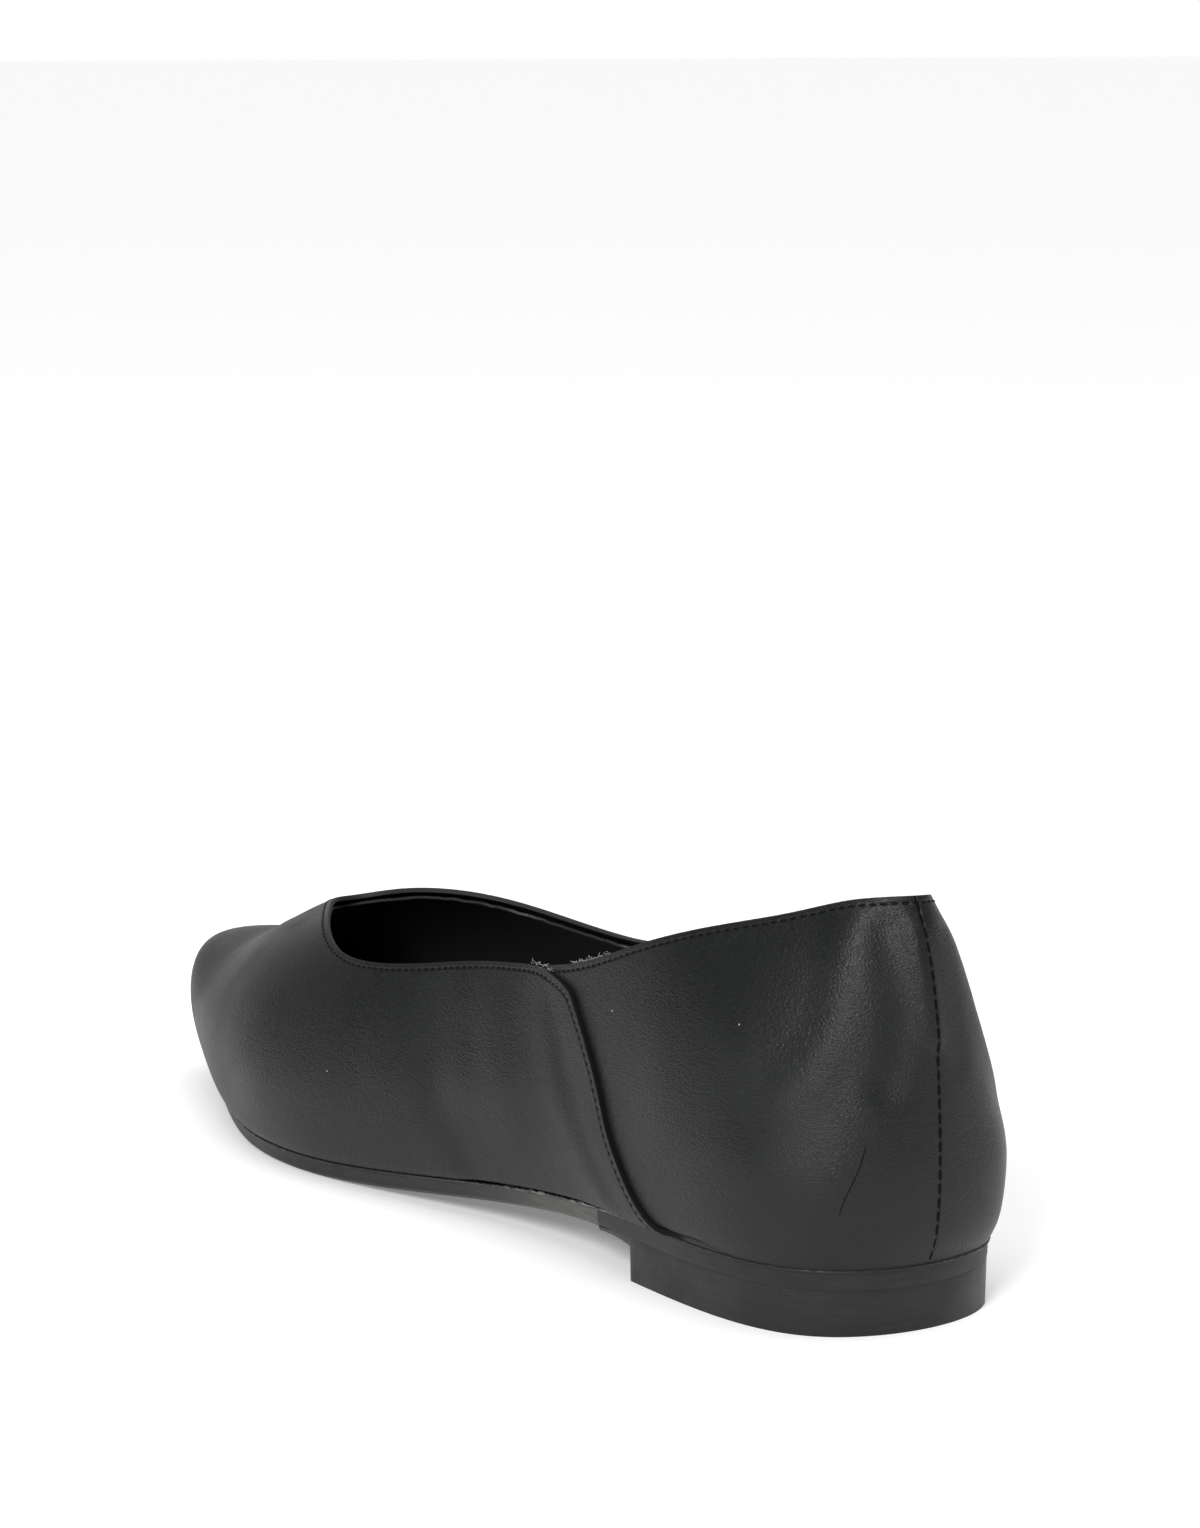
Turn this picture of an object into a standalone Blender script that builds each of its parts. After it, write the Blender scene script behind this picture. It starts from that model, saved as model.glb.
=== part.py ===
# Pointed ballet flat for the left foot: hollow leather upper, insole, outsole and low heel.
# Metres. The toe points to +Y, the inner side of the foot is +X, and the floor is z = 0.
import math
from collections import namedtuple

import bmesh
import bpy
import numpy as np

# Driving sizes of the last
LENGTH = 0.256            # back of the heel to the tip of the toe
BALL_WIDTH = 0.078        # across the widest place, at the toe joints
BACK_HEIGHT = 0.076       # floor to the topline at the back seam
INSTEP_HEIGHT = 0.046     # sole to the ridge at the front of the ball
BELLY_HEIGHT = 0.0177     # feather line to the widest line of the heel
TUCK = 0.0030             # how far the upper turns in below its widest line

# Driving sizes of the pieces
WALL = 0.0018             # leather and lining together
LAP_STEP = 0.0010         # the vamp stands this far over the quarter at its edge
LAP_FADE = 0.022          # length over which the vamp settles back on the last
LAP_REST = 0.35           # share of the step that the vamp keeps beyond that, as its thickness
LAP_SLOPE = 0.0006        # length of the step itself, along the surface
RIM_CROWN = 0.0005        # rounding on top of the folded topline
HEEL_HEIGHT = 0.0082
HEEL_LENGTH = 0.0575
LIP_LENGTH = 0.0112       # thin tongue of the heel that runs forward under the waist
LIP_EDGE = 0.0005
LIP_ROOT = 0.76           # height of the breast under the lip, share of HEEL_HEIGHT
LIP_ROUNDING = 0.0004
HEEL_TAPER = 0.0002       # each side of the heel draws in towards the floor
SOLE_THICKNESS = 0.0034
SOLE_SET_IN = 0.0003      # sole edge inside the feather line
SOLE_ROUNDING = 0.0012    # the bottom edge of the sole draws in this much
SEAT_ROUNDING = 0.0002    # and this much over the heel, where both are trimmed together
SEAT_FADE = 0.008         # length over which one becomes the other, in front of the lip
TOE_SPRING = 0.0115
INSOLE_THICKNESS = 0.0025
INSOLE_ROUNDING = 0.0006  # top edge of the insole
INSOLE_PLAY = 0.0006      # room between the insole's edge and the wall
GAP = 0.0003              # between pieces that touch

# Places along the length, as shares of it
BACK_ALONG = 0.028        # where the back seam meets the topline
THROAT_ALONG = 0.765      # foremost place of the opening
HEEL_SEAT_END = 0.20
BALL_FLAT_START = 0.635
BALL_FLAT_END = 0.70
SPRING_CURVE = 1.65

# Where the edge of the vamp crosses the rim, the widest line and the feather line
LAP_RIM = 0.311
LAP_BELLY = 0.231
LAP_FEATHER = 0.166

# Mesh of the upper, on each side
QUARTER_COLUMNS = 16
VAMP_COLUMNS = 38
ROWS = 15
SOLE_POINTS = 56
HEEL_POINTS = 22
LIP_POINTS = 5
CURVE_SAMPLES = 1600      # on each curve that is measured
WALL_SAMPLES = 160        # on each rib, topline to widest line
TURN_SAMPLES = 40         # on each rib, widest line to feather line
WALL_CROWDING = 1.7       # how closely the samples of a rib stand at the widest line
TANGENT_STEP = 1e-4

# Sections of the last. along is a share of LENGTH. left and right are half widths, shares of
# BALL_WIDTH. spine is the sideways swing of the ridge, share of BALL_WIDTH. belly is the height
# of the widest line, share of BELLY_HEIGHT. back and instep add up to the height of the ridge
# over the sole, shares of the back's own height and of INSTEP_HEIGHT. side and crown are the
# fullness of the wall and of the top. tuck is a share of TUCK.
Section = namedtuple("Section", "along left right spine belly back instep side crown tuck")
SECTIONS = (
    Section(0.000, 0.000, 0.000, 0.000, 1.00, 0.000, 0.000, 1.77, 0.84, 1.00),
    Section(0.028, 0.263, 0.263, 0.000, 1.00, 1.000, 0.000, 1.77, 0.84, 1.00),
    Section(0.100, 0.369, 0.369, 0.000, 1.00, 1.068, 0.000, 1.87, 1.54, 1.00),
    Section(0.230, 0.369, 0.369, 0.000, 0.99, 1.103, 0.000, 2.19, 2.64, 1.00),
    Section(0.400, 0.363, 0.357, 0.000, 0.90, 0.500, 0.660, 1.98, 1.76, 1.00),
    Section(0.540, 0.446, 0.440, 0.000, 0.80, 0.000, 1.241, 1.93, 1.76, 1.00),
    Section(0.660, 0.487, 0.495, 0.000, 0.78, 0.000, 1.081, 1.94, 1.70, 1.00),
    Section(0.740, 0.445, 0.469, 0.004, 0.76, 0.000, 0.956, 1.97, 1.66, 1.00),
    Section(0.840, 0.336, 0.370, 0.015, 0.65, 0.000, 0.663, 2.08, 1.70, 1.00),
    Section(0.930, 0.219, 0.239, 0.028, 0.56, 0.000, 0.458, 2.20, 1.76, 0.85),
    Section(1.000, 0.000, 0.000, 0.034, 0.57, 0.000, 0.000, 2.20, 1.76, 0.75),
)

# Height of the topline, as a share of the way from the widest line up to the ridge.
# along is a share of the opening, back seam to throat.
Rim = namedtuple("Rim", "along left right")
RIM = (
    Rim(0.00, 1.000, 1.000),
    Rim(0.01, 0.951, 0.941),
    Rim(0.04, 0.887, 0.867),
    Rim(0.12, 0.799, 0.801),
    Rim(0.21, 0.678, 0.700),
    Rim(0.33, 0.547, 0.586),
    Rim(0.56, 0.583, 0.540),
    Rim(0.78, 0.660, 0.695),
    Rim(0.92, 0.900, 0.930),
    Rim(1.00, 1.000, 1.000),
)


def clear_scene():
    for thing in list(bpy.data.objects):
        bpy.data.objects.remove(thing, do_unlink=True)


def spline(places, values):
    """Natural cubic curve through a few places."""
    places = np.asarray(places, float)
    values = np.asarray(values, float)
    count = len(places)
    steps = np.diff(places)
    matrix = np.eye(count)
    target = np.zeros(count)
    for i in range(1, count - 1):
        matrix[i, i - 1:i + 2] = steps[i - 1], 2 * (steps[i - 1] + steps[i]), steps[i]
        target[i] = 6 * (values[i + 1] - values[i]) / steps[i]
        target[i] -= 6 * (values[i] - values[i - 1]) / steps[i - 1]
    bends = np.linalg.solve(matrix, target)

    def at(place):
        place = np.clip(place, places[0], places[-1])
        i = np.clip(np.searchsorted(places, place, side="right") - 1, 0, count - 2)
        t = place - places[i]
        h = steps[i]
        slope = (values[i + 1] - values[i]) / h - h * (2 * bends[i] + bends[i + 1]) / 6
        return values[i] + t * slope + t * t * bends[i] / 2 + t ** 3 * (bends[i + 1] - bends[i]) / (6 * h)

    return at


def turn(along):
    """Share of a half turn that stands over a share of the length, so that both ends close round."""
    return np.arccos(1 - 2 * np.clip(along, 0, 1)) / math.pi


def column_of(name):
    return np.array([getattr(row, name) for row in SECTIONS], float)


ALONG = column_of("along")
TURNS = turn(ALONG)


def floor_rise(along):
    """Underside of the sole over the floor: heel seat, flat of the ball, toe spring."""
    heel = np.clip((BALL_FLAT_START - along) / (BALL_FLAT_START - HEEL_SEAT_END), 0, 1)
    toe = np.clip((along - BALL_FLAT_END) / (1 - BALL_FLAT_END), 0, 1)
    return HEEL_HEIGHT * heel * heel * (3 - 2 * heel) + TOE_SPRING * toe ** SPRING_CURVE


def feather(along):
    """Height of the line where the upper meets the sole."""
    return floor_rise(along) + SOLE_THICKNESS + GAP


half_width = {
    -1: spline(TURNS, column_of("left") * BALL_WIDTH),
    1: spline(TURNS, column_of("right") * BALL_WIDTH),
}
spine = spline(ALONG, column_of("spine") * BALL_WIDTH)
belly_rise = spline(ALONG, column_of("belly") * BELLY_HEIGHT)
side_fullness = spline(ALONG, column_of("side"))
crown_fullness = spline(ALONG, column_of("crown"))
tuck_in = spline(ALONG, column_of("tuck") * TUCK)


def ridge_curve():
    heights = column_of("back") * (BACK_HEIGHT - feather(0.0)) + column_of("instep") * INSTEP_HEIGHT
    heights[0] = belly_rise(0.0)
    heights[-1] = belly_rise(1.0)
    return spline(TURNS, heights)


ridge_rise = ridge_curve()


def belly(along):
    return feather(along) + belly_rise(along)


def ridge(along):
    return np.maximum(feather(along) + ridge_rise(turn(along)), belly(along))


def width_at(x, along):
    sides = np.where(x < spine(along), half_width[-1](turn(along)), half_width[1](turn(along)))
    return np.maximum(sides, 1e-6)


def last_height(x, y):
    """Height of the last's surface over a place inside its outline."""
    along = y / LENGTH
    across = np.clip(np.abs(x - spine(along)) / width_at(x, along), 0, 1)
    share = (1 - across ** side_fullness(along)) ** (1 / crown_fullness(along))
    return belly(along) + (ridge(along) - belly(along)) * share


def rim_line(side, count):
    """Topline on one side, from the back seam to the middle of the throat."""
    share = (1 - np.cos(np.linspace(0, math.pi, count))) / 2
    along = BACK_ALONG + (THROAT_ALONG - BACK_ALONG) * share
    name = "left" if side < 0 else "right"
    height = spline([row.along for row in RIM], [getattr(row, name) for row in RIM])
    share_up = np.clip(height(share), 0, 1)
    across = (1 - share_up ** crown_fullness(along)) ** (1 / side_fullness(along))
    x = spine(along) + side * half_width[side](turn(along)) * across
    return np.stack([x, along * LENGTH], -1)


def outline(side, turns):
    """Widest line of the last on one side, in plan."""
    along = (1 - np.cos(math.pi * turns)) / 2
    return np.stack([spine(along) + side * half_width[side](turns), along * LENGTH], -1)


def inset_outline(side, turns, inset):
    """Widest line moved inwards, square to itself. It starts and ends on the ridge line."""
    ahead = outline(side, np.clip(turns + TANGENT_STEP, 0, 1))
    behind = outline(side, np.clip(turns - TANGENT_STEP, 0, 1))
    tangent = ahead - behind
    tangent /= np.linalg.norm(tangent, axis=-1, keepdims=True)
    inward = np.stack([tangent[..., 1], -tangent[..., 0]], -1) * -side
    inward[turns <= 0] = 0, 1
    inward[turns >= 1] = 0, -1
    return outline(side, turns) + inward * np.asarray(inset)[..., None]


def along_turn(turns):
    return (1 - np.cos(math.pi * turns)) / 2


def under_belly(side, turns, angle):
    """Surface below the widest line: a quarter of an ellipse down to the feather line."""
    along = along_turn(turns)
    plan = inset_outline(side, turns, tuck_in(along) * (1 - np.cos(angle)))
    foot = inset_outline(side, turns, tuck_in(along))
    high = belly(along)
    low = feather(foot[..., 1] / LENGTH)
    return np.concatenate([plan, (high - (high - low) * np.sin(angle))[..., None]], -1)


def spread(points, count):
    """Points at even distances along a line."""
    lengths = np.r_[0, np.cumsum(np.linalg.norm(np.diff(points, axis=0), axis=1))]
    wanted = np.linspace(0, lengths[-1], count)
    return np.stack([np.interp(wanted, lengths, points[:, k]) for k in range(points.shape[1])], -1)


def lengths_along(points):
    return np.r_[0, np.cumsum(np.linalg.norm(np.diff(points, axis=0), axis=1))]


def split_places(lengths, split):
    """Places along a line for the quarter's columns and then the vamp's, close together at the lap."""
    quarter = np.linspace(0, split, QUARTER_COLUMNS + 1)
    vamp = np.linspace(split + LAP_SLOPE, lengths[-1], VAMP_COLUMNS + 1)
    return np.r_[quarter, vamp]


def upper_column(side, top, belly_turn, feather_turn, lean):
    """One rib of the upper, from the topline down to the feather line.

    A rib with no lean is straight in plan. One with full lean is straight from the side.
    """
    q = 1 - (1 - np.linspace(0, 1, WALL_SAMPLES)) ** WALL_CROWDING
    bottom = outline(side, belly_turn)
    across = 1 - (1 - q) ** 2
    y = top[1] + (bottom[1] - top[1]) * (lean * q + (1 - lean) * across)
    straight = top[0] + (bottom[0] - top[0]) * across
    start = np.abs(top[0] - spine(top[1] / LENGTH)) / width_at(top[0], top[1] / LENGTH)
    sections = half_width[side](turn(y / LENGTH))
    hugging = spine(y / LENGTH) + side * sections * (start + (1 - start) * across)
    x = lean * hugging + (1 - lean) * straight
    wall = np.stack([x, y, last_height(x, y)], -1)
    angle = np.linspace(0, math.pi / 2, TURN_SAMPLES)[1:]
    turns = belly_turn + (feather_turn - belly_turn) * angle / (math.pi / 2)
    return spread(np.concatenate([wall, under_belly(side, turns, angle)]), ROWS + 1)


def side_columns(side):
    """Ribs of one side, from the back seam to the middle of the toe."""
    rim = rim_line(side, CURVE_SAMPLES)
    rim3 = np.c_[rim, last_height(rim[:, 0], rim[:, 1])]
    rim_lengths = lengths_along(rim3)
    rim_places = split_places(rim_lengths, np.interp(LAP_RIM * LENGTH, rim[:, 1], rim_lengths))
    tops = np.stack([np.interp(rim_places, rim_lengths, rim[:, k]) for k in range(2)], -1)
    turns = np.linspace(0, 1, CURVE_SAMPLES)
    edge = outline(side, turns)
    edge_lengths = lengths_along(edge)
    belly_split = np.interp(LAP_BELLY * LENGTH, edge[:, 1], edge_lengths)
    feather_split = np.interp(LAP_FEATHER * LENGTH, edge[:, 1], edge_lengths)
    belly_turns = np.interp(split_places(edge_lengths, belly_split), edge_lengths, turns)
    feather_turns = np.interp(split_places(edge_lengths, feather_split), edge_lengths, turns)
    ribs = []
    for i, top in enumerate(tops):
        if i <= QUARTER_COLUMNS:
            lean = math.sin(math.pi / 2 * i / QUARTER_COLUMNS)
        else:
            lean = (1 - (i - QUARTER_COLUMNS - 1) / VAMP_COLUMNS) ** 2
        ribs.append(upper_column(side, top, belly_turns[i], feather_turns[i], lean))
    return np.array(ribs)


def upper_grid():
    """Ribs all the way round: left side to the toe, right side back to the heel."""
    left = side_columns(-1)
    right = side_columns(1)
    return np.concatenate([left, right[-2:0:-1]])


def grid_normals(grid):
    around = np.roll(grid, -1, axis=0) - np.roll(grid, 1, axis=0)
    down = np.empty_like(grid)
    down[:, 1:-1] = grid[:, 2:] - grid[:, :-2]
    down[:, 0] = grid[:, 1] - grid[:, 0]
    down[:, -1] = grid[:, -1] - grid[:, -2]
    normals = np.cross(around, down)
    return normals / np.linalg.norm(normals, axis=-1, keepdims=True)


def lap_heights(grid):
    """How far the vamp stands over the last at each rib: full at its edge, less towards the toe."""
    per_side = QUARTER_COLUMNS + VAMP_COLUMNS + 2
    middle = grid[:, ROWS // 2]
    heights = np.zeros(len(grid))
    for first, step in ((QUARTER_COLUMNS + 1, 1), (len(grid) - QUARTER_COLUMNS - 1, -1)):
        distance = 0.0
        i = first
        for count in range(VAMP_COLUMNS):
            fade = max(0.0, 1 - distance / LAP_FADE)
            heights[i] = LAP_STEP * (LAP_REST + (1 - LAP_REST) * fade * fade * (3 - 2 * fade))
            distance += np.linalg.norm(middle[(i + step) % len(grid)] - middle[i])
            i += step
    heights[per_side - 1] = LAP_REST * LAP_STEP
    return heights


def mesh_object(name, points, faces, material, collection):
    mesh = bpy.data.meshes.new(name)
    mesh.from_pydata([tuple(p) for p in points], [], faces)
    mesh.validate()
    model = bmesh.new()
    model.from_mesh(mesh)
    bmesh.ops.recalc_face_normals(model, faces=model.faces)
    model.to_mesh(mesh)
    model.free()
    mesh.materials.append(material)
    mesh.shade_smooth()
    mesh.set_sharp_from_angle(angle=math.radians(40))
    thing = bpy.data.objects.new(name, mesh)
    collection.objects.link(thing)
    return thing


def leather(name, colour, roughness):
    material = bpy.data.materials.new(name)
    material.use_nodes = True
    shader = material.node_tree.nodes["Principled BSDF"]
    shader.inputs["Base Color"].default_value = (*colour, 1)
    shader.inputs["Roughness"].default_value = roughness
    shader.inputs["Metallic"].default_value = 0.0
    return material


def make_upper(collection):
    """Hollow wall, open at the topline and underneath."""
    base = upper_grid()
    normals = grid_normals(base)
    step = lap_heights(base)[:, None, None]
    outer = base + normals * step
    inner = base - normals * WALL
    # the foot of the wall is cut level with the sole, a wall's width across
    count = len(base)
    flat = normals[:, -1].copy()
    flat[:, 2] = 0
    flat /= np.linalg.norm(flat, axis=-1, keepdims=True)
    foot = base[:, -1] + flat * step[:, 0]
    outer[:, -1, :2] = foot[:, :2]
    outer[:, -1, 2] = feather(foot[:, 1] / LENGTH)
    heel_of_wall = base[:, -1] - flat * WALL
    inner[:, -1, :2] = heel_of_wall[:, :2]
    inner[:, -1, 2] = feather(heel_of_wall[:, 1] / LENGTH)
    # the folded topline is rounded
    up = base[:, 0] - base[:, 1]
    up /= np.linalg.norm(up, axis=-1, keepdims=True)
    crown = (outer[:, 0] + inner[:, 0]) / 2 + up * RIM_CROWN
    loops = [outer[:, j] for j in range(ROWS, -1, -1)] + [crown] + [inner[:, j] for j in range(ROWS + 1)]
    points = np.concatenate(loops)
    faces = []
    for j in range(len(loops)):
        k = (j + 1) % len(loops)
        for i in range(count):
            n = (i + 1) % count
            faces.append((j * count + i, j * count + n, k * count + n, k * count + i))
    return mesh_object("upper", points, faces, leather("black_leather", (0.035, 0.035, 0.036), 0.5), collection)


def edge_line(side, turns, inset, height):
    """One side of a plate's edge. inset and height are each worked out from the place along."""
    along = along_turn(turns)
    plan = inset_outline(side, turns, tuck_in(along) + inset(along))
    return np.c_[plan, height(plan[:, 1] / LENGTH)]


def plate(name, turns, rows, material, collection):
    """Flat piece inside the last's outline. Each row is an inset and a height, top to bottom."""
    left = [edge_line(-1, turns, inset, height) for inset, height in rows]
    right = [edge_line(1, turns, inset, height) for inset, height in rows]
    count = len(turns)
    points = []
    index = {}
    for r in range(len(rows)):
        for i in range(count):
            index[r, i, 0] = len(points)
            points.append(left[r][i])
            if 0 < i < count - 1:
                index[r, i, 1] = len(points)
                points.append(right[r][i])
            else:
                index[r, i, 1] = index[r, i, 0]
    faces = []
    for i in range(count - 1):
        for r in range(len(rows) - 1):
            for s in (0, 1):
                faces.append((index[r, i, s], index[r, i + 1, s], index[r + 1, i + 1, s], index[r + 1, i, s]))
        for r in (0, len(rows) - 1):
            corners = [index[r, i, 0], index[r, i + 1, 0], index[r, i + 1, 1], index[r, i, 1]]
            faces.append(tuple(dict.fromkeys(corners)))
    return mesh_object(name, points, faces, material, collection)


# The edge of the outsole: share of its thickness up, share of its rounding in
SOLE_EDGE = ((1.00, 0.00), (0.55, 0.12), (0.20, 0.30), (0.00, 1.00))


def sole_rounding(along):
    """How far the sole's bottom edge draws in: little over the heel and its lip."""
    fade = np.clip((along * LENGTH - HEEL_LENGTH - LIP_LENGTH) / SEAT_FADE, 0, 1)
    return SEAT_ROUNDING + (SOLE_ROUNDING - SEAT_ROUNDING) * fade * fade * (3 - 2 * fade)


def sole_row(up, inward):
    return (
        lambda along: SOLE_SET_IN + inward * sole_rounding(along),
        lambda along: floor_rise(along) + up * SOLE_THICKNESS,
    )


def make_outsole(collection):
    turns = np.linspace(0, 1, SOLE_POINTS + 1)
    rows = [sole_row(up, inward) for up, inward in SOLE_EDGE]
    return plate("outsole", turns, rows, leather("dark_sole", (0.06, 0.06, 0.062), 0.42), collection)


def make_insole(collection):
    turns = np.linspace(0, 1, SOLE_POINTS + 1)
    edge = WALL + INSOLE_PLAY
    rows = (
        (lambda along: edge + INSOLE_ROUNDING, lambda along: feather(along) + INSOLE_THICKNESS),
        (lambda along: edge, lambda along: feather(along) + INSOLE_THICKNESS - INSOLE_ROUNDING),
        (lambda along: edge, feather),
    )
    return plate("insole", turns, rows, leather("insole_leather", (0.012, 0.012, 0.012), 0.7), collection)


def turn_at_length(length, inset):
    """Where an inset outline is this far from the back."""
    turns = np.linspace(0, 0.5, CURVE_SAMPLES)
    plan = inset_outline(-1, turns, tuck_in(along_turn(turns)) + inset)
    return float(np.interp(length, plan[:, 1], turns))


def make_heel(collection):
    """Low block with an upright breast and a thin lip forward under the waist."""
    front = turn_at_length(HEEL_LENGTH, SOLE_SET_IN + SEAT_ROUNDING)
    lip_end = turn_at_length(HEEL_LENGTH + LIP_LENGTH, SOLE_SET_IN + SEAT_ROUNDING)
    block = np.linspace(0, front, HEEL_POINTS)
    lip = np.linspace(front, lip_end, LIP_POINTS + 1)
    # the breast is two stations at one place: the foot of the block, then the root of the lip
    turns = np.r_[block, lip]
    in_lip = np.r_[np.zeros(len(block), bool), np.ones(len(lip), bool)]
    reach = np.r_[np.zeros(len(block)), (lip - front) / (lip_end - front)]
    taper = np.where(in_lip, LIP_ROUNDING, HEEL_TAPER)
    rows = {"top": {}, "low": {}}
    for side in (-1, 1):
        seat = tuck_in(along_turn(turns)) + SOLE_SET_IN + SEAT_ROUNDING
        top = inset_outline(side, turns, seat)
        low = inset_outline(side, turns, seat + taper)
        low[len(block) - 1:, 1] = top[len(block) - 1:, 1]
        under = floor_rise(top[:, 1] / LENGTH) - GAP
        root = LIP_ROOT * HEEL_HEIGHT
        lip_low = root + (under - LIP_EDGE - root) * (1 - (1 - reach) ** 2)
        rows["top"][side] = np.c_[top, under]
        rows["low"][side] = np.c_[low, np.where(in_lip, lip_low, 0.0)]
    points = []
    places = {}

    def corner(row, i, side):
        point = tuple(rows[row][side][i])
        if point not in places:
            places[point] = len(points)
            points.append(point)
        return places[point]

    last = len(turns) - 1
    faces = [(corner("top", last, -1), corner("top", last, 1), corner("low", last, 1), corner("low", last, -1))]
    for i in range(last):
        for row in ("top", "low"):
            faces.append([corner(row, i, -1), corner(row, i + 1, -1), corner(row, i + 1, 1), corner(row, i, 1)])
        for side in (-1, 1):
            upper_edge = [corner("top", i, side), corner("top", i + 1, side)]
            faces.append(upper_edge + [corner("low", i + 1, side), corner("low", i, side)])
    faces = [tuple(dict.fromkeys(face)) for face in faces]
    faces = [face for face in faces if len(face) > 2]
    return mesh_object("heel", points, faces, leather("dark_heel", (0.02, 0.02, 0.021), 0.45), collection)


def main():
    clear_scene()
    collection = bpy.data.collections.new("ballet_flat")
    bpy.context.scene.collection.children.link(collection)
    pieces = [
        make_upper(collection),
        make_insole(collection),
        make_outsole(collection),
        make_heel(collection),
    ]
    # the reference point is under the middle of the shoe, on the floor
    corners = [piece.data.vertices for piece in pieces]
    xs = [v.co.x for vertices in corners for v in vertices]
    ys = [v.co.y for vertices in corners for v in vertices]
    middle = ((min(xs) + max(xs)) / 2, (min(ys) + max(ys)) / 2)
    for piece in pieces:
        piece.location = (-middle[0], -middle[1], 0)


main()
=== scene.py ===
# Black leather ballet flat, left foot: the looks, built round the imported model
import math
import random

import bmesh
import bpy
import numpy as np
from mathutils import Matrix, Vector
from mathutils.bvhtree import BVHTree
from mathutils.kdtree import KDTree


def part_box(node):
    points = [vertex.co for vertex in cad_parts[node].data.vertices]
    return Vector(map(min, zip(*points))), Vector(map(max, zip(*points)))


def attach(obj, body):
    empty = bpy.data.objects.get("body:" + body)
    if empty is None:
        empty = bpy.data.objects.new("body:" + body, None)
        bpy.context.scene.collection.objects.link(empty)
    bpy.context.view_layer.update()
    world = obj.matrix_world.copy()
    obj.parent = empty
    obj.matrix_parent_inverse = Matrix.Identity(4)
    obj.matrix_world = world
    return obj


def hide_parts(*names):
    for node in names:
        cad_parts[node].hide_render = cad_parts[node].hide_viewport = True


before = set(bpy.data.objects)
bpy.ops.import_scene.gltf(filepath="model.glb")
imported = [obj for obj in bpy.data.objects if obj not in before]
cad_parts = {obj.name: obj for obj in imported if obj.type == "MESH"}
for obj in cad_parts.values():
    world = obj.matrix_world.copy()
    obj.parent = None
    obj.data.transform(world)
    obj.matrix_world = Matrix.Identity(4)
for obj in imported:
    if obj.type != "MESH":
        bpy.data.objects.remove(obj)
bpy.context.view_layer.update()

# Places are counted in millimetres from the floor under the back of the heel, toe ahead
backOfHeel = Vector(((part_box("heel")[0].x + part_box("heel")[1].x) / 2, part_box("upper")[0].y, 0))


def mm(value):
    return value / 1000


def at(across, along, up):
    return backOfHeel + Vector((across, along, up)) / 1000


def ease(value):
    value = np.clip(value, 0, 1)
    return value * value * (3 - 2 * value)


# Shapes

def mergedCopy(nodeName):
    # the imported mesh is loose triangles: they are welded and joined to four-sided faces
    shape = bmesh.new()
    shape.from_mesh(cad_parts[nodeName].data)
    bmesh.ops.remove_doubles(shape, verts=shape.verts, dist=mm(0.002))
    bmesh.ops.join_triangles(
        shape,
        faces=shape.faces,
        angle_face_threshold=math.radians(60),
        angle_shape_threshold=math.pi,
        topology_influence=2.0,
    )
    shape.faces.index_update()
    return shape


def regionsOf(shape, foldAngle):
    # faces that run into each other without a fold sharper than the angle
    left = set(shape.faces)
    regions = []
    while left:
        waiting = [left.pop()]
        region = set(waiting)
        while waiting:
            face = waiting.pop()
            near = {other for edge in face.edges for other in edge.link_faces if other in left}
            near = {other for other in near if other.normal.angle(face.normal) < foldAngle}
            left -= near
            region |= near
            waiting.extend(near)
        regions.append(region)
    return regions


def cutOut(shape, faces, moves=None):
    # a copy of some of the faces, with verts moved by their number
    keep = {face.index for face in faces}
    panel = shape.copy()
    panel.verts.ensure_lookup_table()
    for index, move in (moves or {}).items():
        panel.verts[index].co += move
    dropped = [face for face in panel.faces if face.index not in keep]
    bmesh.ops.delete(panel, geom=dropped, context="FACES")
    return panel


def smoothed(shape, levels):
    # a Subdivision Surface applied to a shape
    mesh = bpy.data.meshes.new("smoothing")
    shape.to_mesh(mesh)
    shape.free()
    thing = bpy.data.objects.new("smoothing", mesh)
    bpy.context.scene.collection.objects.link(thing)
    surface = thing.modifiers.new("smooth", "SUBSURF")
    surface.levels = levels
    surface.render_levels = levels
    done = thing.evaluated_get(bpy.context.evaluated_depsgraph_get())
    fine = bmesh.new()
    fine.from_mesh(done.to_mesh())
    done.to_mesh_clear()
    bpy.data.objects.remove(thing)
    bpy.data.meshes.remove(mesh)
    return fine


def pieceFrom(shape, name, material, replaced=()):
    mesh = bpy.data.meshes.new(name)
    shape.to_mesh(mesh)
    shape.free()
    mesh.materials.append(material)
    mesh.shade_smooth()
    piece = bpy.data.objects.new(name, mesh)
    bpy.context.scene.collection.objects.link(piece)
    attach(piece, "root")
    if replaced:
        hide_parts(*replaced)
    return piece


def addThickness(piece, thickness, rounding, segments, edgeMaterial=0):
    wall = piece.modifiers.new("thickness", "SOLIDIFY")
    wall.thickness = thickness
    wall.offset = -1
    wall.use_even_offset = True
    wall.material_offset_rim = edgeMaterial
    addRounding(piece, rounding, segments)


def addRounding(piece, width, segments):
    rounding = piece.modifiers.new("rounding", "BEVEL")
    rounding.width = width
    rounding.segments = segments
    rounding.limit_method = "ANGLE"
    rounding.angle_limit = math.radians(50)


def coordinates(shape):
    return np.array([vert.co for vert in shape.verts])


def setCoordinates(shape, points):
    for vert, point in zip(shape.verts, points):
        vert.co = point
    shape.normal_update()


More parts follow.
